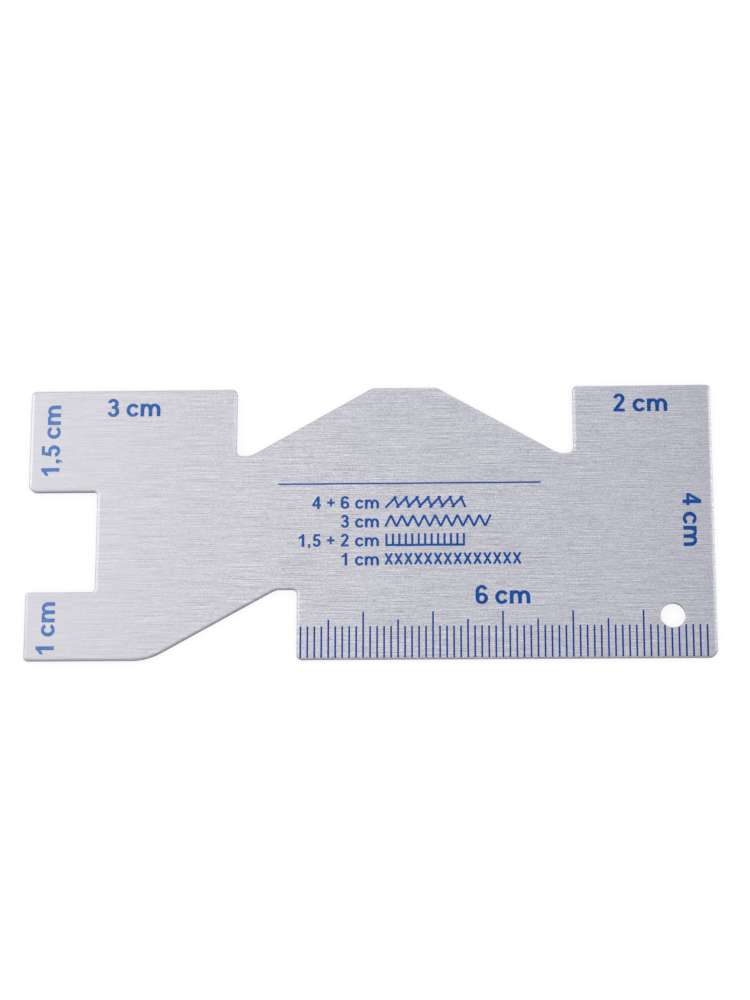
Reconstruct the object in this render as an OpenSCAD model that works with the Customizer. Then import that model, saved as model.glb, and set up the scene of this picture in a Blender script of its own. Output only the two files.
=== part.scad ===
// Sewing gauge: one flat sheet of brushed metal whose notched outline gives the set widths of
// hems and seams, with printed numbers, a millimetre scale and a hanging hole.
// Sizes are in millimetres. X runs along the gauge, Y towards the edge with the slots, and Z out
// of the printed face. The origin is the middle of the back face.

/* [Plate] */
// Length over both ends
plate_l = 99.4; // [92:0.1:110]
// Height, which is the measuring length of the right end
plate_h = 40; // [38:0.1:50]
// Thickness of the sheet
plate_t = 1; // [0.6:0.1:2]

/* [Measuring edges] */
// Width of the tab at the upper left
tab_left_w = 30.4; // [24:0.1:33]
// Width of the tab at the upper right
tab_right_w = 20; // [17:0.1:22]
// Length of the edge that carries the scale
scale_edge = 60; // [50:1:64]
// Width of the lower arm at the left end
arm_low_w = 10; // [9:0.1:13]
// Width of the upper arm at the left end
arm_high_w = 15.2; // [13:0.1:18]
// Depth of the notch between the arms
notch_depth = 10.1; // [5:0.1:14]

/* [Slots and cut] */
// Depth of the two slots beside the tabs
slot_depth = 10; // [7:0.1:10.5]
// Width of the level floor of a slot
slot_floor_w = 2.15; // [1.9:0.05:3]
// Slope of the slots' long sides, in degrees
slot_slope = 29.5; // [28:0.1:40]
// Height of the cut at the left end of the scale
cut_depth = 10.2; // [7:0.1:11]
// Width of the level top of that cut
cut_top_w = 3.1; // [2.4:0.1:5]
// Slope of the cut's long side, in degrees
cut_slope = 28.9; // [27:0.1:40]

/* [Corners] */
// Radius of the outer corners of the tabs, of the upper arm and at the left end of the scale
corner_r = 0.7; // [0.2:0.1:1.5]
// Radius of the two corners of the lower arm
arm_r = 0.5; // [0.2:0.1:1.5]
// Radius of the lower right corner and of the upper arm's lower corner
heel_r = 1.2; // [0.2:0.1:2.5]
// Radius of the inner corners of the notch
notch_r = 0.6; // [0.2:0.1:1.5]
// Radius of the inner corners at the straight walls of the slots and the cut
wall_r = 0.8; // [0.2:0.1:1.2]
// Radius where a slot's floor turns into its slope
slot_blend_r = 2.5; // [0.5:0.1:3]
// Radius where the slopes meet the level top between the slots
ridge_r = 1; // [0.2:0.1:4]
// Radius where the lower edge turns up into the cut
foot_r = 9; // [1:0.5:14]
// Radius where the cut's slope turns level
cut_blend_r = 2.5; // [0.5:0.1:6]

/* [Hanging hole] */
// Diameter of the hole
hole_d = 3.5; // [2:0.1:4.5]
// Distance of the hole's middle from the right end
hole_from_end = 6.2; // [4:0.1:9]
// Distance of the hole's middle from the scale edge
hole_from_edge = 6.1; // [4:0.1:8]

/* [Scale] */
// Distance between two marks
mark_pitch = 1; // [1:0.5:2]
// Width of a mark
mark_w = 0.24; // [0.1:0.01:0.4]
// Distance of the marks' feet from the edge
mark_foot = 0.2; // [0.15:0.05:0.6]
// Length of a plain mark
mark_len = 4.55; // [2:0.05:5.3]
// Length of every fifth mark
fifth_len = 5.5; // [3:0.05:6]
// Length of every tenth mark
tenth_len = 6.65; // [4:0.05:7]
// How far the printed scale lies left of the edge that it measures
scale_shift = 0.42; // [0:0.02:0.44]

/* [Print] */
// Thickness of the printed ink
ink_t = 0.03; // [0.02:0.01:0.1]
// Bare rim between the ink and the hole
ink_rim = 0.12; // [0.05:0.01:0.5]
// Height of the type body of the size labels
label_size = 3.58; // [2.5:0.01:4]
// Distance of a label's baseline from the upper edge
label_drop = 3.95; // [3.2:0.05:6]
// Distance of a label's baseline from an end
label_inset = 4.44; // [3.5:0.02:4.6]
// Distance of the scale's label from its longest marks
label_over_scale = 1.05; // [0.4:0.05:2]
// How far the right tab's label lies left of the tab's middle
tab_label_shift = 0.2; // [0:0.1:0.6]
// How far the lower arm's label lies under the arm's middle
arm_label_shift = 0.4; // [0:0.1:0.6]
// Space between a label's number and its unit, as a share of the type body
label_gap = 0.215; // [0.1:0.005:0.3]

/* [Legend] */
// Height of the type body of the legend
legend_size = 2.48; // [1.8:0.01:2.6]
// Distance of the legend's number column from the left end, at the column's right side
legend_x = 51.26; // [48:0.02:54]
// Height of the first line of numbers over the plate's middle
legend_y = 1.95; // [1.5:0.05:2.5]
// Distance between two lines
legend_pitch = 2.78; // [2.7:0.02:2.86]
// Space between the numbers, signs and units of the legend, as a share of the type body
legend_gap = 0.265; // [0.2:0.005:0.28]
// Length of the rule above the legend
rule_l = 38; // [20:0.5:40]
// Height of that rule's middle over the plate's middle
rule_y = 5.66; // [5.2:0.01:6.5]
// Line width of the rule
rule_w = 0.22; // [0.1:0.01:0.4]
// Distance of the rule's left end from the left end of the plate
rule_x = 36.6; // [32:0.1:40]

/* [Stitch signs] */
// Gap between the numbers and the stitch signs
sign_gap = 0.9; // [0.4:0.1:2]
// Line width of the stitch signs
sign_w = 0.32; // [0.1:0.01:0.4]
// Bare margin between a stitch's ends and the height of the numbers
stitch_margin = 0.1; // [0:0.05:0.3]
// Number of herringbone stitches, the sign for a hem
hem_count = 7; // [3:1:10]
// Distance between two of them
hem_pitch = 1.6; // [1.2:0.1:2]
// How far the returning stitch reaches to either side
hem_reach = 0.35; // [0.2:0.05:0.6]
// Number of zigzag stitches, the sign for a seam
seam_count = 19; // [5:1:23]
// Length of one of them along the line
seam_pitch = 0.8; // [0.6:0.05:1]
// Number of blanket stitches, the sign for a shoulder
shoulder_count = 13; // [4:1:18]
// Distance between two of them
shoulder_pitch = 0.93; // [0.7:0.01:1.2]
// Number of cross stitches, the sign for an armhole
armhole_count = 14; // [3:1:16]
// Distance between two of them
armhole_pitch = 1.42; // [1.3:0.01:1.6]
// Width of a cross stitch
armhole_w = 0.95; // [0.6:0.05:1]

/* [Hidden] */
$fn = 96;

// Places along X and Y, from the plate's lower left corner
cut_x = plate_l - scale_edge;
tab_right_x = plate_l - tab_right_w;
slot_y = plate_h - slot_depth;
slope_run = slot_depth / tan(slot_slope);
cut_run = cut_depth / tan(cut_slope);
ridge_left_x = tab_left_w + slot_floor_w + slope_run;
ridge_right_x = tab_right_x - slot_floor_w - slope_run;
foot_x = cut_x - cut_top_w - cut_run;
hole_x = plate_l - hole_from_end;

// Corners of the plate, anticlockwise from the lower left, each with its radius.
// A radius under zero marks an inner corner.
corners = [
    [0, 0, arm_r],
    [foot_x, 0, foot_r],
    [cut_x - cut_top_w, cut_depth, -cut_blend_r],
    [cut_x, cut_depth, -wall_r],
    [cut_x, 0, corner_r],
    [plate_l, 0, heel_r],
    [plate_l, plate_h, corner_r],
    [tab_right_x, plate_h, corner_r],
    [tab_right_x, slot_y, -wall_r],
    [tab_right_x - slot_floor_w, slot_y, -slot_blend_r],
    [ridge_right_x, plate_h, ridge_r],
    [ridge_left_x, plate_h, ridge_r],
    [tab_left_w + slot_floor_w, slot_y, -slot_blend_r],
    [tab_left_w, slot_y, -wall_r],
    [tab_left_w, plate_h, corner_r],
    [0, plate_h, corner_r],
    [0, plate_h - arm_high_w, heel_r],
    [notch_depth, plate_h - arm_high_w, -notch_r],
    [notch_depth, arm_low_w, -notch_r],
    [0, arm_low_w, arm_r]
];
n_corners = len(corners);

// Point i of the outline, counted round
function corner(i) = let (c = corners[(i + n_corners) % n_corners]) [c[0], c[1]];
function radius(i) = abs(corners[i][2]);
function unit(v) = v / norm(v);
// Directions from corner i to its neighbours, and half the angle between them
function back_dir(i) = unit(corner(i - 1) - corner(i));
function next_dir(i) = unit(corner(i + 1) - corner(i));
function half_angle(i) = acos(back_dir(i) * next_dir(i)) / 2;
// Where the round stretch at corner i leaves the straight edges, and its centre
function reach(i) = radius(i) / tan(half_angle(i));
function round_start(i) = corner(i) + reach(i) * back_dir(i);
function round_end(i) = corner(i) + reach(i) * next_dir(i);
function round_centre(i) = corner(i) + radius(i) / sin(half_angle(i)) * unit(back_dir(i) + next_dir(i));

// The piece between the arc of corner i and its chord
module round_piece(i) {
    intersection() {
        translate(round_centre(i)) circle(r = radius(i));
        polygon([round_start(i), corner(i), round_end(i)]);
    }
}

module plate_outline() {
    difference() {
        union() {
            polygon([for (i = [0 : n_corners - 1]) each [round_start(i), round_end(i)]]);
            for (i = [0 : n_corners - 1]) if (corners[i][2] > 0) round_piece(i);
        }
        for (i = [0 : n_corners - 1]) if (corners[i][2] < 0) round_piece(i);
    }
}

// Letter shapes, drawn one em high on a baseline at y = 0, so that every number in them is a
// share of the type size. The first is the height of the numbers, the second that of the small
// letters, then the widths of upright and level strokes, and how far rounds pass the lines.
digit_share = 0.745;
x_share = 0.53;
stem_share = 0.153;
level_share = 0.122;
overshoot_share = 0.012;

// Step from one letter to the next, where a space is as wide as gap
function advance(ch, gap) =
    ch == "m" ? 0.889 :
    ch == "+" ? 0.584 :
    ch == "," ? 0.278 :
    ch == " " ? gap : 0.556;
// Width of the first n letters of a line
function run_width(line, n, gap) = n == 0 ? 0 : advance(line[n - 1], gap) + run_width(line, n - 1, gap);

module bar(x, y, w, h) {
    translate([x, y]) square([w, h]);
}

// Points of an oval of half width r[0] and half height r[1], from one angle to another
function oval(mid, r, from, to, steps = 24) =
    [for (k = [0 : steps]) let (a = from + (to - from) * k / steps) mid + [r[0] * cos(a), r[1] * sin(a)]];
// Half width and half height of the hollow of a rounded stroke
function hollow(r) = r - [stem_share, level_share];

// Part of a rounded stroke of outer size r, between two angles
module bow(mid, r, from, to) {
    polygon(concat(oval(mid, r, from, to), oval(mid, hollow(r), to, from)));
}

module digit_1() {
    stem_x = 0.255;
    stem_right = stem_x + stem_share;
    flag_x = 0.085;
    polygon([[stem_x, 0], [stem_right, 0], [stem_right, digit_share], [0.283, digit_share],
             [0.215, 0.65], [flag_x, 0.565], [flag_x, 0.435], [0.175, 0.48], [stem_x, 0.54]]);
}

module digit_2() {
    r = [0.232, 0.222];
    mid = [0.258, digit_share + overshoot_share - r[1]];
    // Angles of the bowl's open end and of the place where it turns into the diagonal
    open_end = 172;
    leave = -38;
    right = 0.487;
    polygon(concat(oval(mid, r, open_end, leave),
                   [[0.23, level_share], [right, level_share], [right, 0], [0.02, 0], [0.035, 0.1]],
                   oval(mid, hollow(r), leave, open_end)));
}

module digit_3() {
    low = [0.243, 0.234];
    high = [0.23, (digit_share + 2 * overshoot_share + level_share) / 2 - low[1]];
    low_y = low[1] - overshoot_share;
    bow([0.262, low_y], low, -169, 90);
    bow([0.25, digit_share + overshoot_share - high[1]], high, -90, 166);
    bar(0.19, low_y + low[1] - level_share, 0.075, level_share);
}

module digit_4() {
    bar_y = 0.152;
    bar_top = bar_y + level_share;
    stem_x = 0.3;
    stem_right = stem_x + stem_share;
    left = 0.03;
    right = 0.533;
    difference() {
        polygon([[stem_x, 0], [stem_right, 0], [stem_right, bar_y], [right, bar_y],
                 [right, bar_top], [stem_right, bar_top], [stem_right, digit_share],
                 [0.318, digit_share], [left, bar_top], [left, bar_y], [stem_x, bar_y]]);
        polygon([[stem_x, bar_top], [stem_x, 0.5], [0.158, bar_top]]);
    }
}

module digit_5() {
    r = [0.245, 0.246];
    top_y = digit_share - level_share;
    right = 0.492;
    bow([0.287, r[1] - overshoot_share], r, -168, 128);
    polygon([[0.135, digit_share], [0.068, 0.355], [0.2, 0.335], [0.225, 0.44],
             [0.25, top_y], [right, top_y], [right, digit_share]]);
}

module digit_6() {
    low = [0.251, 0.233];
    high = [0.248, 0.255];
    low_mid = [0.271, low[1] - overshoot_share];
    high_mid = [0.268, digit_share + overshoot_share - high[1]];
    bow(low_mid, low, -90, 90);
    bow(low_mid, low, 90, 270);
    bar(low_mid[0] - low[0], low_mid[1], stem_share, high_mid[1] - low_mid[1]);
    bow(high_mid, high, 22, 180);
}

module letter_c() {
    r = [0.274, x_share / 2 + overshoot_share];
    half_mouth = 31;
    bow([0.03 + r[0], x_share / 2], r, half_mouth, 360 - half_mouth);
}

module letter_m() {
    gap = 0.181;
    arch = [gap / 2 + stem_share, 0.25];
    hollow_h = 0.17;
    arch_top = x_share + overshoot_share / 2;
    first = 0.058;
    // Middle of the first or the second arch
    function arch_x(k) = first + stem_share + gap / 2 + k * (gap + stem_share);
    difference() {
        union() {
            bar(first, 0, stem_share, x_share);
            for (k = [0, 1]) translate([arch_x(k), 0]) {
                polygon(oval([0, arch_top - arch[1]], arch, 0, 180));
                bar(-arch[0], 0, 2 * arch[0], arch_top - arch[1]);
            }
        }
        for (k = [0, 1]) translate([arch_x(k), 0]) {
            polygon(oval([0, arch_top - level_share - hollow_h], [gap / 2, hollow_h], 0, 180));
            bar(-gap / 2, -level_share, gap, arch_top - hollow_h);
        }
    }
}

module comma() {
    left = 0.055;
    right = 0.205;
    polygon([[left, 0], [left, stem_share], [right, stem_share], [right, 0.035], [0.175, -0.06],
             [0.095, -0.13], [0.062, -0.085], [0.117, -0.045], [0.132, 0]]);
}

module plus() {
    half = 0.222;
    mid = [0.292, 0.372];
    bar(mid[0] - half, mid[1] - level_share / 2, 2 * half, level_share);
    bar(mid[0] - level_share / 2, mid[1] - half, level_share, 2 * half);
}

module letter(ch) {
    if (ch == "1") digit_1();
    if (ch == "2") digit_2();
    if (ch == "3") digit_3();
    if (ch == "4") digit_4();
    if (ch == "5") digit_5();
    if (ch == "6") digit_6();
    if (ch == "c") letter_c();
    if (ch == "m") letter_m();
    if (ch == ",") comma();
    if (ch == "+") plus();
}

// A printed line in the type size em, whose share "align" of its width lies left of x = 0
module printed_line(line, em, align, gap) {
    for (k = [0 : len(line) - 1]) if (line[k] != " ") scale(em)
        translate([run_width(line, k, gap) - align * run_width(line, len(line), gap), 0]) letter(line[k]);
}

// Places a flat shape on the printed face, as ink
module ink() {
    color([0.13, 0.27, 0.62]) translate([-plate_l / 2, -plate_h / 2, plate_t])
        linear_extrude(ink_t) children();
}

// The marks of the scale whose number is a multiple of every, but not of except
module marks(length, every, except) {
    last = floor(scale_edge / mark_pitch) - 1;
    sides = 12;
    ink() difference() {
        for (n = [every : every : last]) if (n % except != 0)
            bar(cut_x - scale_shift + n * mark_pitch - mark_w / 2, mark_foot, mark_w, length);
        // The bare rim is a many-sided shape round the hole, so that the marks end straight
        translate([hole_x, hole_from_edge])
            circle(r = (hole_d / 2 + ink_rim) / cos(180 / sides), $fn = sides);
    }
}

// A size label, centred on the middle of what it measures and turned by an angle
module size_label(line, x, y, turn) {
    ink() translate([x, y]) rotate(turn) printed_line(line, label_size, 0.5, label_gap);
}

// Height of the legend's line number n over the plate's lower edge
function row_y(n) = plate_h / 2 + legend_y - (n - 1) * legend_pitch;

module legend_row(n, line) {
    ink() translate([legend_x, row_y(n)]) printed_line(line, legend_size, 1, legend_gap);
}

// Height of the stitch signs, which is that of the numbers beside them
sign_h = digit_share * legend_size;

// A straight stitch of the signs' line width from point a to point b, with square ends
module stitch(a, b) {
    side = sign_w / 2 * [a[1] - b[1], b[0] - a[0]] / norm(b - a);
    polygon([a - side, b - side, b + side, a + side]);
}

module sign(n) {
    ink() translate([legend_x + sign_gap, row_y(n)]) children();
}

module gauge_plate() {
    color([0.8, 0.8, 0.83]) translate([-plate_l / 2, -plate_h / 2, 0]) difference() {
        linear_extrude(plate_t) plate_outline();
        translate([hole_x, hole_from_edge, -1]) cylinder(d = hole_d, h = plate_t + 2);
    }
}

module millimetre_marks() marks(mark_len, 1, 5);
module five_millimetre_marks() marks(fifth_len, 5, 10);
module centimetre_marks() marks(tenth_len, 10, scale_edge);

label_top_y = plate_h - label_drop;
module size_3cm() size_label("3 cm", tab_left_w / 2, label_top_y, 0);
module size_2cm() size_label("2 cm", plate_l - tab_right_w / 2 - tab_label_shift, label_top_y, 0);
module size_6cm() size_label("6 cm", cut_x + scale_edge / 2 - scale_shift,
                             mark_foot + tenth_len + label_over_scale, 0);
module size_1_5cm() size_label("1,5 cm", label_inset, plate_h - arm_high_w / 2, 90);
module size_1cm() size_label("1 cm", label_inset, arm_low_w / 2 - arm_label_shift, 90);
module size_4cm() size_label("4 cm", plate_l - label_inset, plate_h / 2, -90);

module legend_rule() {
    ink() bar(rule_x, plate_h / 2 + rule_y - rule_w / 2, rule_l, rule_w);
}

module legend_row_1() legend_row(1, "4 + 6 cm");
module legend_row_2() legend_row(2, "3 cm");
module legend_row_3() legend_row(3, "1,5 + 2 cm");
module legend_row_4() legend_row(4, "1 cm");

// Heights between which the stitches run
stitch_low = stitch_margin;
stitch_high = sign_h - stitch_margin;

// Herringbone stitches, as used on a hem
module hem_sign() {
    sign(1) for (k = [1 : hem_count]) {
        x = k * hem_pitch;
        stitch([x - hem_pitch, stitch_low], [x, stitch_high]);
        stitch([x - hem_reach, stitch_high], [x + hem_reach, stitch_low]);
    }
}

// Zigzag stitches, as used on a seam
module seam_sign() {
    function turn(k) = [k * seam_pitch, k % 2 == 0 ? stitch_low : stitch_high];
    sign(2) for (k = [1 : seam_count]) stitch(turn(k - 1), turn(k));
}

// Blanket stitches, as used on a shoulder edge
module shoulder_sign() {
    sign(3) {
        bar(0, 0, (shoulder_count - 1) * shoulder_pitch, sign_w);
        for (k = [1 : shoulder_count]) bar((k - 1) * shoulder_pitch, 0, sign_w, sign_h);
    }
}

// Rows of cross stitches, as used round an armhole
module armhole_sign() {
    sign(4) for (k = [1 : armhole_count]) {
        x = (k - 1) * armhole_pitch;
        stitch([x, stitch_low], [x + armhole_w, stitch_high]);
        stitch([x, stitch_high], [x + armhole_w, stitch_low]);
    }
}

gauge_plate();
millimetre_marks();
five_millimetre_marks();
centimetre_marks();
size_3cm();
size_2cm();
size_6cm();
size_1_5cm();
size_1cm();
size_4cm();
legend_rule();
legend_row_1();
legend_row_2();
legend_row_3();
legend_row_4();
hem_sign();
seam_sign();
shoulder_sign();
armhole_sign();
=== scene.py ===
"""The looks of a sewing gauge of brushed aluminium sheet with blue printed marks.

The sheet is made here with the rounded rim that a punch leaves. The printed marks keep their own
solids. All sizes in the frame are metres, and values written in millimetres are turned with MM."""
import math

import bpy
import numpy as np
from mathutils import Euler, Matrix, Vector
from mathutils.geometry import tessellate_polygon


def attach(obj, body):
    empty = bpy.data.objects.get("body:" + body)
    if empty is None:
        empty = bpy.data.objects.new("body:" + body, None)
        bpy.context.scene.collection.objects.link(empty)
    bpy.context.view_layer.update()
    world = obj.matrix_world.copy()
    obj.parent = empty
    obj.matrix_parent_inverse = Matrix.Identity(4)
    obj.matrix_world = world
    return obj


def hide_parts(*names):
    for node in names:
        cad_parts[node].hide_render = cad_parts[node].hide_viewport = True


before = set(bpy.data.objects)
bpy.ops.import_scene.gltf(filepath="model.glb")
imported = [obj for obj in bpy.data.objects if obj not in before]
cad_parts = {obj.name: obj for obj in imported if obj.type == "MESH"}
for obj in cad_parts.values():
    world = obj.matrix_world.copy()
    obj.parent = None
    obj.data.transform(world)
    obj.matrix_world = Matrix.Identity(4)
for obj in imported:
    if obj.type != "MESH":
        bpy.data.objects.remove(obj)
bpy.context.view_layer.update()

MM = 0.001

# Sizes of the sheet, in millimetres, as in the part's source
PLATE_L, PLATE_H, PLATE_T = 99.4, 40.0, 1.0
TAB_LEFT_W, TAB_RIGHT_W, SCALE_EDGE = 30.4, 20.0, 60.0
ARM_LOW_W, ARM_HIGH_W, NOTCH_DEPTH = 10.0, 15.2, 10.1
SLOT_DEPTH, SLOT_FLOOR_W, SLOT_SLOPE = 10.0, 2.15, 29.5
CUT_DEPTH, CUT_TOP_W, CUT_SLOPE = 10.2, 3.1, 28.9
CORNER_R, ARM_R, HEEL_R, NOTCH_R, WALL_R = 0.7, 0.5, 1.2, 0.6, 0.8
SLOT_BLEND_R, RIDGE_R, FOOT_R, CUT_BLEND_R = 2.5, 1.0, 9.0, 2.5
HOLE_D, HOLE_FROM_END, HOLE_FROM_EDGE = 3.5, 6.2, 6.1

# The rim that the punch leaves: rolled over on the printed side, a hair of a round on the back
ROLL_W, ROLL_H = 0.42, 0.27
HOLE_ROLL_W, HOLE_ROLL_H = 0.11, 0.10
BACK_R = 0.06
# Width of the level ring that joins the rim to the flat faces
FLAT_RING = 0.05
# The lower part of the wall is torn and falls back by TEAR_BACK. It leaves the wall at the height
# TEAR_TOP and has fallen back by half at TEAR_MIDDLE
TEAR_BACK, TEAR_TOP, TEAR_MIDDLE = 0.03, 0.59, 0.49
# Shares of the thickness up to which the wall looks torn, and from which it looks burnished
TORN_UP_TO, BURNISHED_FROM = 0.47, 0.57

# Brushing of the face: length of a grain along the gauge and its width, in millimetres, and an offset
# in grains that sets each pattern apart. The belt's grit draws hairlines 0.02 to 0.05 mm wide, which
# are too fine to show, so they are drawn 0.06 mm wide and up
HAIRLINE = (7.0, 0.06, (0, 0, 0))
DASH = (1.3, 0.07, (5, 2, 0))
SPECK = (0.24, 0.2, (1, 4, 0))
SCRATCH = (1.8, 0.08, (9, 3, 0))
PATCH = (30.0, 9.0, (7, 1, 0))
# Each hairline has a darker flank 0.15 mm beside it, as a groove that is lit from one side has
FLANK = (7.0, 0.06, (0, 2.5, 0))
# Shares of hairlines, dashes and specks in the streaks, and what the flanks take from them
STREAK_SHARES, FLANK_SHARE = (0.45, 0.24, 0.31), 0.2
# Pits: one in each patch of this width, dark to the first radius and gone at the second
PIT_SPACING, PIT_CORE_R, PIT_R = 9.0, 0.108, 0.216
# Draw marks of the punch on the wall, by width and length, and the grit of its torn part
DRAW_MARK_W, DRAW_MARK_L, GRIT = 0.06, 0.9, 0.07
# Roughness of the face in its darker and lighter hairlines, and of the wall's two parts
FACE_DULL, FACE_BRIGHT, WALL_BURNISHED, WALL_TORN = 0.552, 0.456, 0.456, 0.578
# Hairlines of the metal that show through the ink, and the ink's own mottle, as the brushing above
INK_HAIRLINE, INK_MOTTLE = (0.9, 0.1), (0.5, 0.35, (2, 9, 0))
# Share of the mottle in the ink's streaks, and its roughness in the darker and lighter ones
MOTTLE_SHARE, INK_DULL, INK_BRIGHT = 0.4, 0.5, 0.42
# Depth of the brushing and of the ink's unevenness
RELIEF = 0.003
# Places along the gauge, in millimetres from its middle: the left end is brushed more evenly up to
# EVEN_TO, and a painted shade darkens the end with the hole from the third place on. On the line
# below, a painted sheen pales the ink: it is full at the first place and gone at the second
LEFT_END, EVEN_TO, PAINTED_SHADE_FROM, RIGHT_END = -50, -7, 39, 50
INK_SHEEN_FULL, INK_SHEEN_GONE = -46, 14

# Printed ink, as places and colours from its darker to its lighter streaks
FULL_COAT = ((0.3, "#0d3677"), (0.5, "#184790"), (0.7, "#285ba9"))
# Painted sheen: paler blue streaks laid over the ink towards the left end, where the lamp's sheen falls
PAINTED_SHEEN_COAT = ((0.3, "#3a5b95"), (0.5, "#486aa4"), (0.7, "#5a7db7"))
# A narrow slit in the screen lays a thicker bead of ink, so the scale's marks are a shade deeper
FINE_LINE_COAT = ((0.3, "#042c70"), (0.5, "#083a84"), (0.7, "#134b9b"))
# Share of the painted sheen over the ink along the gauge, from where it is full to where it is gone
PAINTED_SHEEN_SHARE = ((0.0, "#ffffff"), (0.27, "#7c7c7c"), (0.7, "#646464"), (1.0, "#000000"))

# Softboxes: place, width and height in millimetres, radiance and colour
SOFTBOXES = {
    "upper_left_softbox": ((-110, 70, 300), 130, 220, 1.55, "#fff0d8"),
    "left_softbox": ((-140, 45, 100), 90, 100, 1.9, "#fffaf2"),
    "right_softbox": ((220, 60, 80), 110, 130, 2.8, "#ffffff"),
    "back_softbox": ((0, 520, 200), 500, 240, 0.8, "#ffffff"),
}
# Light of the room on matt surfaces, and what the paper adds where it is seen
ROOM_LIGHT, PAPER_GLOW = 1.0, 0.83
# Half the width of the paper, and how far it lies under the gauge, in millimetres
FLOOR_HALF, FLOOR_DROP = 3000, 0.02
# The black card: its distance in front, half its width, and its lower and upper edge, in millimetres
CARD_AHEAD, CARD_HALF, CARD_LOW, CARD_HIGH = 500, 700, 1, 270

# Lens of the photograph in pixels, the height of its picture, and the sensor's in millimetres
LENS_PIXELS, PICTURE_PIXELS, SENSOR = 2261.96, 1000, 36
# Place of the camera in millimetres and its tilts in radians, and what it sees from and to in metres
CAMERA_PLACE = (15.92, -65.14, 321.04)
CAMERA_TILTS = (0.21040, 0.04570, -0.00860)
SEES_FROM, SEES_TO = 0.01, 20


def linear(hex_colour):
    """sRGB hex value to a linear colour with alpha 1."""
    c = np.array([int(hex_colour[i:i + 2], 16) for i in (1, 3, 5)]) / 255
    c = np.where(c <= 0.04045, c / 12.92, ((c + 0.055) / 1.055) ** 2.4)
    return (*c.tolist(), 1.0)


def corner_list():
    """Corners of the outline from the lower left one, anticlockwise, as rows of x, y and radius.
    The radius is under zero at an inner corner."""
    slope_run = SLOT_DEPTH / math.tan(math.radians(SLOT_SLOPE))
    cut_run = CUT_DEPTH / math.tan(math.radians(CUT_SLOPE))
    cut_x, tab_x, slot_y = PLATE_L - SCALE_EDGE, PLATE_L - TAB_RIGHT_W, PLATE_H - SLOT_DEPTH
    return np.array([
        [0, 0, ARM_R],
        [cut_x - CUT_TOP_W - cut_run, 0, FOOT_R],
        [cut_x - CUT_TOP_W, CUT_DEPTH, -CUT_BLEND_R],
        [cut_x, CUT_DEPTH, -WALL_R],
        [cut_x, 0, CORNER_R],
        [PLATE_L, 0, HEEL_R],
        [PLATE_L, PLATE_H, CORNER_R],
        [tab_x, PLATE_H, CORNER_R],
        [tab_x, slot_y, -WALL_R],
        [tab_x - SLOT_FLOOR_W, slot_y, -SLOT_BLEND_R],
        [tab_x - SLOT_FLOOR_W - slope_run, PLATE_H, RIDGE_R],
        [TAB_LEFT_W + SLOT_FLOOR_W + slope_run, PLATE_H, RIDGE_R],
        [TAB_LEFT_W + SLOT_FLOOR_W, slot_y, -SLOT_BLEND_R],
        [TAB_LEFT_W, slot_y, -WALL_R],
        [TAB_LEFT_W, PLATE_H, CORNER_R],
        [0, PLATE_H, CORNER_R],
        [0, PLATE_H - ARM_HIGH_W, HEEL_R],
        [NOTCH_DEPTH, PLATE_H - ARM_HIGH_W, -NOTCH_R],
        [NOTCH_DEPTH, ARM_LOW_W, -NOTCH_R],
        [0, ARM_LOW_W, ARM_R],
    ])


def outline_path(steps=12):
    """Path round the sheet and its outward normals. At a corner the normal N turns evenly from that
    of the edge before to that of the edge after, and the path point is centre + sign * r * N, where
    sign is -1 at an inner corner. The straight edges lie between the corners' rounds."""
    rows = corner_list()
    at, r, sign = rows[:, :2], np.abs(rows[:, 2]), np.sign(rows[:, 2])
    back = np.roll(at, 1, axis=0) - at
    back /= np.linalg.norm(back, axis=1, keepdims=True)
    ahead = np.roll(back, -1, axis=0) * -1
    middle = back + ahead
    middle /= np.linalg.norm(middle, axis=1, keepdims=True)
    half = np.arccos(np.sum(back * ahead, axis=1)) / 2
    centre = at + (r / np.sin(half))[:, None] * middle
    first = np.arctan2(back[:, 0], -back[:, 1])
    turn = sign * (math.pi - 2 * half)
    angle = first[:, None] + turn[:, None] * np.linspace(0, 1, steps + 1)[None, :]
    normal = np.stack([np.cos(angle), np.sin(angle)], axis=-1)
    path = centre[:, None, :] + (sign * r)[:, None, None] * normal
    return path.reshape(-1, 2) - [PLATE_L / 2, PLATE_H / 2], normal.reshape(-1, 2)


def hole_path(steps=96):
    """Path round the hole, the centre plus the radius times (cos, sin) of an angle that runs
    clockwise, and its normals, which point out of the metal to the middle."""
    angle = -2 * math.pi * np.arange(steps) / steps
    outward = np.stack([np.cos(angle), np.sin(angle)], axis=-1)
    centre = [PLATE_L / 2 - HOLE_FROM_END, HOLE_FROM_EDGE - PLATE_H / 2]
    return centre + HOLE_D / 2 * outward, -outward


def rim_profile(roll_w, roll_h, steps=8):
    """Rows of inset and height down the rim: a level ring, a quarter ellipse for the rolled edge,
    the sheared wall, its torn part that falls back a little, and a quarter circle to the back."""
    a = np.linspace(0, math.pi / 2, steps + 1)
    roll = np.stack([roll_w * (1 - np.sin(a)), PLATE_T - roll_h * (1 - np.cos(a))], axis=-1)
    wall = [[0, TEAR_TOP], [TEAR_BACK / 2, TEAR_MIDDLE]]
    round_off = np.stack([TEAR_BACK + BACK_R * (1 - np.cos(a)), BACK_R * (1 - np.sin(a))], axis=-1)
    level_top = [[roll_w + FLAT_RING, PLATE_T]]
    level_back = [[TEAR_BACK + BACK_R + FLAT_RING, 0]]
    return np.concatenate([level_top, roll, wall, round_off, level_back])


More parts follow.
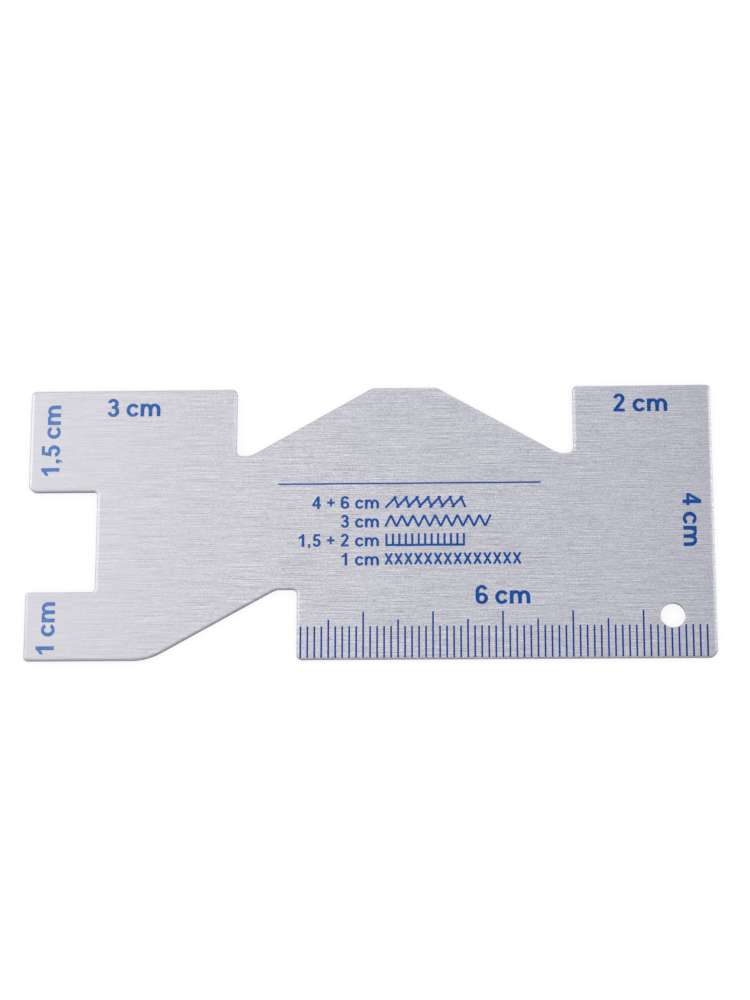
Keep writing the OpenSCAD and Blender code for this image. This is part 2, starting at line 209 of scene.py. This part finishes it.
def rim(path, normal, profile):
    """A closed rim. Column u follows the path and row v the profile, so that a point is
    (x, y) = path(u) - inset(v) * normal(u) with z = height(v). Returns the points, the quads and,
    for each quad's corners, the length run along the path and down the profile."""
    columns, rows = len(path), len(profile)
    flat = path[:, None] - profile[None, :, :1] * normal[:, None]
    high = np.broadcast_to(profile[None, :, 1:], (columns, rows, 1))
    u, v = np.meshgrid(np.arange(columns), np.arange(rows - 1), indexing="ij")
    u, v = u[..., None] + [0, 0, 1, 1], v[..., None] + [0, 1, 1, 0]
    step = np.linalg.norm(np.roll(path, -1, axis=0) - path, axis=1)
    run = np.concatenate([[0], np.cumsum(step)])
    drop = np.concatenate([[0], np.cumsum(np.linalg.norm(np.diff(profile, axis=0), axis=1))])
    points = np.concatenate([flat, high], axis=-1).reshape(-1, 3)
    along = np.stack([run[u], drop[v]], axis=-1)
    return points, (u % columns * rows + v).reshape(-1, 4), along.reshape(-1, 2)


def flat_face(rings, numbers, up):
    """Triangles between closed rings of points, the outer ring first. numbers holds the rings'
    vertex numbers, and up is 1 for a face that looks up and -1 for one that looks down."""
    picks = np.array(tessellate_polygon([[Vector(p) for p in ring] for ring in rings]))
    a, b, c = (np.concatenate(rings)[picks[:, k]] for k in range(3))
    ab, ac = b - a, c - a
    area = ab[:, 0] * ac[:, 1] - ab[:, 1] * ac[:, 0]
    picks = np.where((area * up > 0)[:, None], picks, picks[:, ::-1])
    return np.concatenate(numbers)[picks]


def mesh_of(name, points, quads, triangles, uv):
    """A mesh of smooth quads and flat triangles, with a UV pair for each corner of each face."""
    mesh = bpy.data.meshes.new(name)
    corners = np.concatenate([quads.ravel(), triangles.ravel()])
    sizes = np.repeat([4, 3], [len(quads), len(triangles)])
    mesh.vertices.add(len(points))
    mesh.vertices.foreach_set("co", points.ravel())
    mesh.loops.add(len(corners))
    mesh.loops.foreach_set("vertex_index", corners)
    mesh.polygons.add(len(sizes))
    mesh.polygons.foreach_set("loop_start", np.cumsum(sizes) - sizes)
    mesh.polygons.foreach_set("use_smooth", sizes == 4)
    mesh.uv_layers.new(name="run").data.foreach_set("uv", uv.ravel())
    mesh.update(calc_edges=True)
    mesh.validate()
    return mesh


def make_sheet():
    """The sheet as one closed surface: a rim round the outline, a rim round the hole, and the
    flat faces between the rims' first rings and between their last rings."""
    profiles = [rim_profile(ROLL_W, ROLL_H), rim_profile(HOLE_ROLL_W, HOLE_ROLL_H)]
    edge, hole = rim(*outline_path(), profiles[0]), rim(*hole_path(), profiles[1])
    points = np.concatenate([edge[0], hole[0]])
    quads = np.concatenate([edge[1], hole[1] + len(edge[0])])
    rows = len(profiles[0])
    numbers = [np.arange(len(edge[0])), len(edge[0]) + np.arange(len(hole[0]))]
    first = [n[::rows] for n in numbers]
    last = [n[rows - 1::rows] for n in numbers]
    triangles = np.concatenate([
        flat_face([points[n] for n in first], first, 1),
        flat_face([points[n] for n in last], last, -1)])
    uv = np.concatenate([edge[2], hole[2], points[triangles.ravel(), :2]])
    return mesh_of("gauge_sheet", points * MM, quads, triangles, uv * MM)


def add(tree, kind, inputs=(), stops=(), **settings):
    """Adds a shader node. inputs says what its sockets take, by name or in the order of those in use:
    a value, another node's output, or a node, which stands for its first output in use. stops are
    the places and hex colours of a colour ramp, and settings are the node's own."""
    node = tree.nodes.new("ShaderNode" + kind)
    for name, value in settings.items():
        setattr(node, name, value)
    for number, (place, colour) in enumerate(stops):
        band = node.color_ramp.elements
        element = band[number] if number < len(band) else band.new(place)
        element.position, element.color = place, linear(colour)
    named = isinstance(inputs, dict)
    sockets = [node.inputs[name] for name in inputs] if named else [s for s in node.inputs if s.enabled]
    for socket, value in zip(sockets, inputs.values() if named else inputs):
        if isinstance(value, bpy.types.Node):
            value = next(output for output in value.outputs if output.enabled)
        if isinstance(value, bpy.types.NodeSocket):
            tree.links.new(value, socket)
        else:
            socket.default_value = value
    return node


def new_material(name):
    """An empty node material and its tree."""
    material = bpy.data.materials.new(name)
    material.use_nodes = True
    material.node_tree.nodes.clear()
    return material, material.node_tree


def grain(tree, length, width, offset=(0, 0, 0), detail=1.0, roughness=0.5):
    """Noise from 0 to 1 on Object coordinates. Its grain has this length along X and Z and this
    width along Y, in millimetres, and offset moves it by that many grains."""
    here = add(tree, "TexCoord").outputs["Object"]
    scale = [1 / (size * MM) for size in (length, width, length)]
    spot = add(tree, "Mapping", {"Vector": here, "Location": offset, "Scale": scale})
    return add(tree, "TexNoise", {"Vector": spot, "Scale": 1.0, "Detail": detail, "Roughness": roughness})


def brushed_aluminium():
    """Brushed aluminium sheet: a belt has drawn fine straight hairlines along the length, so that
    the face is a soft silver grey with light and dark streaks, and the shine spreads across them.
    The punched edge is bare: rolled over and burnished at the printed side, with torn grey metal
    towards the back. Its wall is darker, partly as sheared metal is and partly as painted shade for
    the shadowed paper that it mirrors."""
    material, tree = new_material("brushed_aluminium_sheet")
    here = add(tree, "TexCoord").outputs["Object"]
    place = add(tree, "SeparateXYZ", [here]).outputs

    # The face is silver grey in streaks, from which the flanks of the hairlines take some light
    hair = grain(tree, *HAIRLINE)
    parts = add(tree, "CombineXYZ", [hair, grain(tree, *DASH), grain(tree, *SPECK)])
    lines = add(tree, "VectorMath", [parts, STREAK_SHARES], operation="DOT_PRODUCT")
    flank = add(tree, "Math", [grain(tree, *FLANK), 0.5], operation="SUBTRACT")
    streak = add(tree, "Math", [flank, -FLANK_SHARE, lines], operation="MULTIPLY_ADD")
    face = add(tree, "ValToRGB", [streak], ((0.3, "#888894"), (0.5, "#babcc7"), (0.7, "#e4e5ed")))

    # Over it lie single deeper scratches, patches of another tone, pits, and the even left end
    scratch = add(tree, "MapRange", [grain(tree, *SCRATCH), 0.62, 0.74, 0.0, 0.5])
    patch = add(tree, "MapRange", [grain(tree, *PATCH), 0.3, 0.7, 0.0, 0.2])
    cells = add(tree, "TexVoronoi", {"Vector": here, "Scale": 1 / (PIT_SPACING * MM)},
                voronoi_dimensions="2D")
    pit = add(tree, "MapRange", [cells, PIT_CORE_R / PIT_SPACING, PIT_R / PIT_SPACING, 0.35, 0.0])
    even = add(tree, "MapRange", [place["X"], LEFT_END * MM, EVEN_TO * MM, 0.84, 0.0])
    for share, colour in ((scratch, "#878893"), (patch, "#b6b7c2"), (pit, "#77787f"), (even, "#babcc7")):
        face = add(tree, "Mix", [share, face, linear(colour)], data_type="RGBA")
    # The end with the hole, by which the gauge is held, is darkened towards its tip by painted shade
    painted_shade_right_end = add(tree, "MapRange", [place["X"], PAINTED_SHADE_FROM * MM, RIGHT_END * MM, 0.0, 1.0])
    face = add(tree, "Mix", [painted_shade_right_end, face, linear("#f6f6f6")], data_type="RGBA", blend_type="MULTIPLY")

    # The height over the back as a share of the thickness tells the face from the punched edge
    share = add(tree, "MapRange", [place["Z"], 0, PLATE_T * MM, 0, 1])
    on_edge = add(tree, "ValToRGB", [share],
                  ((0.0, "#000000"), (0.05, "#ffffff"), (0.70, "#ffffff"), (0.79, "#000000")))
    is_torn = add(tree, "ValToRGB", [share], ((TORN_UP_TO, "#ffffff"), (BURNISHED_FROM, "#000000")))
    # Draw marks of the punch run down the wall, over the map of lengths along and down the rim
    scale = (1 / (DRAW_MARK_W * MM), 1 / (DRAW_MARK_L * MM), 1)
    down = add(tree, "Mapping", {"Vector": add(tree, "UVMap", uv_map="run"), "Scale": scale})
    score = add(tree, "TexNoise", {"Vector": down, "Scale": 1.0, "Detail": 2.0, "Roughness": 0.6})
    grit = grain(tree, GRIT, GRIT, detail=3.0, roughness=0.6)
    # The wall's colours are darker than the face partly as sheared metal and partly as painted shade, for
    # the shadowed paper that the wall mirrors
    burnished = add(tree, "ValToRGB", [score], ((0.3, "#74757d"), (0.7, "#888991")))
    torn = add(tree, "ValToRGB", [grit], ((0.35, "#505157"), (0.65, "#66676e")))
    wall = add(tree, "Mix", [is_torn, burnished, torn], data_type="RGBA")
    colour = add(tree, "Mix", [on_edge, face, wall], data_type="RGBA")

    face_roughness = add(tree, "MapRange", [hair, 0.3, 0.7, FACE_DULL, FACE_BRIGHT])
    wall_roughness = add(tree, "MapRange", [is_torn, 0, 1, WALL_BURNISHED, WALL_TORN])
    roughness = add(tree, "Mix", [on_edge, face_roughness, wall_roughness], data_type="FLOAT")
    wall_relief = add(tree, "Mix", [is_torn, score, grit], data_type="FLOAT")
    relief = add(tree, "Mix", [on_edge, streak, wall_relief], data_type="FLOAT")
    bump = add(tree, "Bump", {"Strength": 0.1, "Distance": RELIEF * MM, "Height": relief})
    shader = add(tree, "BsdfPrincipled", {
        "Base Color": colour, "Metallic": 1.0, "Roughness": roughness, "Normal": bump,
        "Anisotropic": 0.6, "Anisotropic Rotation": 0.25,
        "Tangent": add(tree, "Tangent", direction_type="UV_MAP", uv_map="run")})
    add(tree, "OutputMaterial", [shader])
    return material


def printed_ink(name, full_coat, paints_sheen):
    """Blue screen ink on the brushed face: a sheer coat through which the metal shines, so that it
    has a blue metallic sheen with lighter and darker hairlines. Where the third argument is true, a
    painted sheen makes the blue paler towards the left end."""
    material, tree = new_material(name)
    hair = grain(tree, *INK_HAIRLINE, detail=2.0, roughness=0.6)
    mottle = grain(tree, *INK_MOTTLE, detail=2.0)
    streak = add(tree, "Mix", [MOTTLE_SHARE, hair, mottle], data_type="FLOAT")
    colour = add(tree, "ValToRGB", [streak], full_coat)
    # Towards the left end a paler blue is laid over the ink as painted sheen
    if paints_sheen:
        here = add(tree, "TexCoord").outputs["Object"]
        along = add(tree, "SeparateXYZ", [here]).outputs["X"]
        place = add(tree, "MapRange", [along, INK_SHEEN_FULL * MM, INK_SHEEN_GONE * MM, 0, 1])
        share = add(tree, "ValToRGB", [place], PAINTED_SHEEN_SHARE)
        painted_sheen = add(tree, "ValToRGB", [streak], PAINTED_SHEEN_COAT)
        colour = add(tree, "Mix", [share, colour, painted_sheen], data_type="RGBA")
    bump = add(tree, "Bump", {"Strength": 0.3, "Distance": RELIEF * MM, "Height": streak})
    roughness = add(tree, "MapRange", [streak, 0.3, 0.7, INK_DULL, INK_BRIGHT])
    shader = add(tree, "BsdfPrincipled", {
        "Base Color": colour, "Metallic": 0.85, "Roughness": roughness, "Specular IOR Level": 0.2,
        "Normal": bump})
    add(tree, "OutputMaterial", [shader])
    return material


def sees_background(tree):
    """1 for rays from the camera, from a mirror or through glass, and 0 for the light of the room."""
    path = add(tree, "LightPath").outputs
    seen = add(tree, "Math", [path["Is Camera Ray"], path["Is Glossy Ray"]], operation="MAXIMUM")
    return add(tree, "Math", [seen, path["Is Transmission Ray"]], operation="MAXIMUM")


def white_paper():
    """White paper floor: plain and matt. Most of its white is a glow where it is seen or mirrored, so
    that the paper is as white as the background and the shadow on it stays faint."""
    material, tree = new_material("white_paper")
    paper = add(tree, "BsdfDiffuse", [linear("#787878")])
    strength = add(tree, "MapRange", [sees_background(tree), 0, 1, 0, PAPER_GLOW])
    glow = add(tree, "Emission", [linear("#ffffff"), strength])
    add(tree, "OutputMaterial", [add(tree, "AddShader", [paper, glow])])
    return material


def black_card():
    """Black card: matt, a very dark grey."""
    material, tree = new_material("matt_black_card")
    add(tree, "OutputMaterial", [add(tree, "BsdfDiffuse", [linear("#303030")])])
    return material


def white_world():
    """White surroundings: strength 1 where they are seen, and ROOM_LIGHT for the light they give."""
    world = bpy.data.worlds.new("white_room")
    world.use_nodes = True
    tree = world.node_tree
    tree.nodes.clear()
    strength = add(tree, "MapRange", [sees_background(tree), 0, 1, ROOM_LIGHT, 1])
    add(tree, "OutputWorld", [add(tree, "Background", [linear("#ffffff"), strength])])
    bpy.context.scene.world = world


def softbox(name, place, width, height, radiance, colour):
    """Rectangular lamp at a place in millimetres, which looks at the gauge and shines in its metal
    only, so that the paper stays even. A lamp of area A and power P has the radiance P / (pi * A)."""
    data = bpy.data.lights.new(name, "AREA")
    data.shape, data.size, data.size_y = "RECTANGLE", width * MM, height * MM
    data.energy = radiance * math.pi * width * MM * height * MM
    data.color = linear(colour)[:3]
    lamp = bpy.data.objects.new(name, data)
    where = Vector(place) * MM
    lamp.matrix_world = Matrix.LocRotScale(where, where.to_track_quat("Z", "Y"), None)
    lamp.visible_diffuse = False
    bpy.context.scene.collection.objects.link(lamp)


def four_sided(name, corners, material):
    """A mesh of one face with four corners in millimetres."""
    mesh = bpy.data.meshes.new(name)
    mesh.from_pydata([[value * MM for value in corner] for corner in corners], [], [(0, 1, 2, 3)])
    mesh.materials.append(material)
    return mesh


def link_new(name, mesh):
    """A new object of the scene that shows the mesh."""
    piece = bpy.data.objects.new(name, mesh)
    bpy.context.scene.collection.objects.link(piece)
    return piece


sheet = link_new("gauge_sheet", make_sheet())
sheet.data.materials.append(brushed_aluminium())
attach(sheet, "root")
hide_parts("gauge_plate")

ink = printed_ink("screen_printed_blue_ink", FULL_COAT, True)
fine_ink = printed_ink("screen_printed_blue_ink_in_fine_lines", FINE_LINE_COAT, False)
for name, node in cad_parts.items():
    if name != "gauge_plate":
        node.data.materials.clear()
        node.data.materials.append(fine_ink if name.endswith("_marks") else ink)

floor = four_sided("floor", [(x * FLOOR_HALF, y * FLOOR_HALF, -FLOOR_DROP)
                             for x, y in ((-1, -1), (1, -1), (1, 1), (-1, 1))], white_paper())
link_new("floor", floor)

# A black card in front, out of the camera's sight, darkens the rims that face the camera's side
card = link_new("black_card", four_sided("black_card", [
    (-CARD_HALF, -CARD_AHEAD, CARD_LOW), (-CARD_HALF, -CARD_AHEAD, CARD_HIGH),
    (CARD_HALF, -CARD_AHEAD, CARD_HIGH), (CARD_HALF, -CARD_AHEAD, CARD_LOW)], black_card()))
card.visible_camera = card.visible_diffuse = card.visible_shadow = False

white_world()
for name, values in SOFTBOXES.items():
    softbox(name, *values)

lens = bpy.data.cameras.new("camera")
lens.lens, lens.sensor_width = LENS_PIXELS / PICTURE_PIXELS * SENSOR, SENSOR
lens.clip_start, lens.clip_end = SEES_FROM, SEES_TO
camera = bpy.data.objects.new("camera", lens)
camera.matrix_world = Matrix.LocRotScale(Vector(CAMERA_PLACE) * MM, Euler(CAMERA_TILTS, "ZYX"), None)
bpy.context.scene.collection.objects.link(camera)
bpy.context.scene.camera = camera
bpy.context.scene.view_settings.view_transform = "Standard"
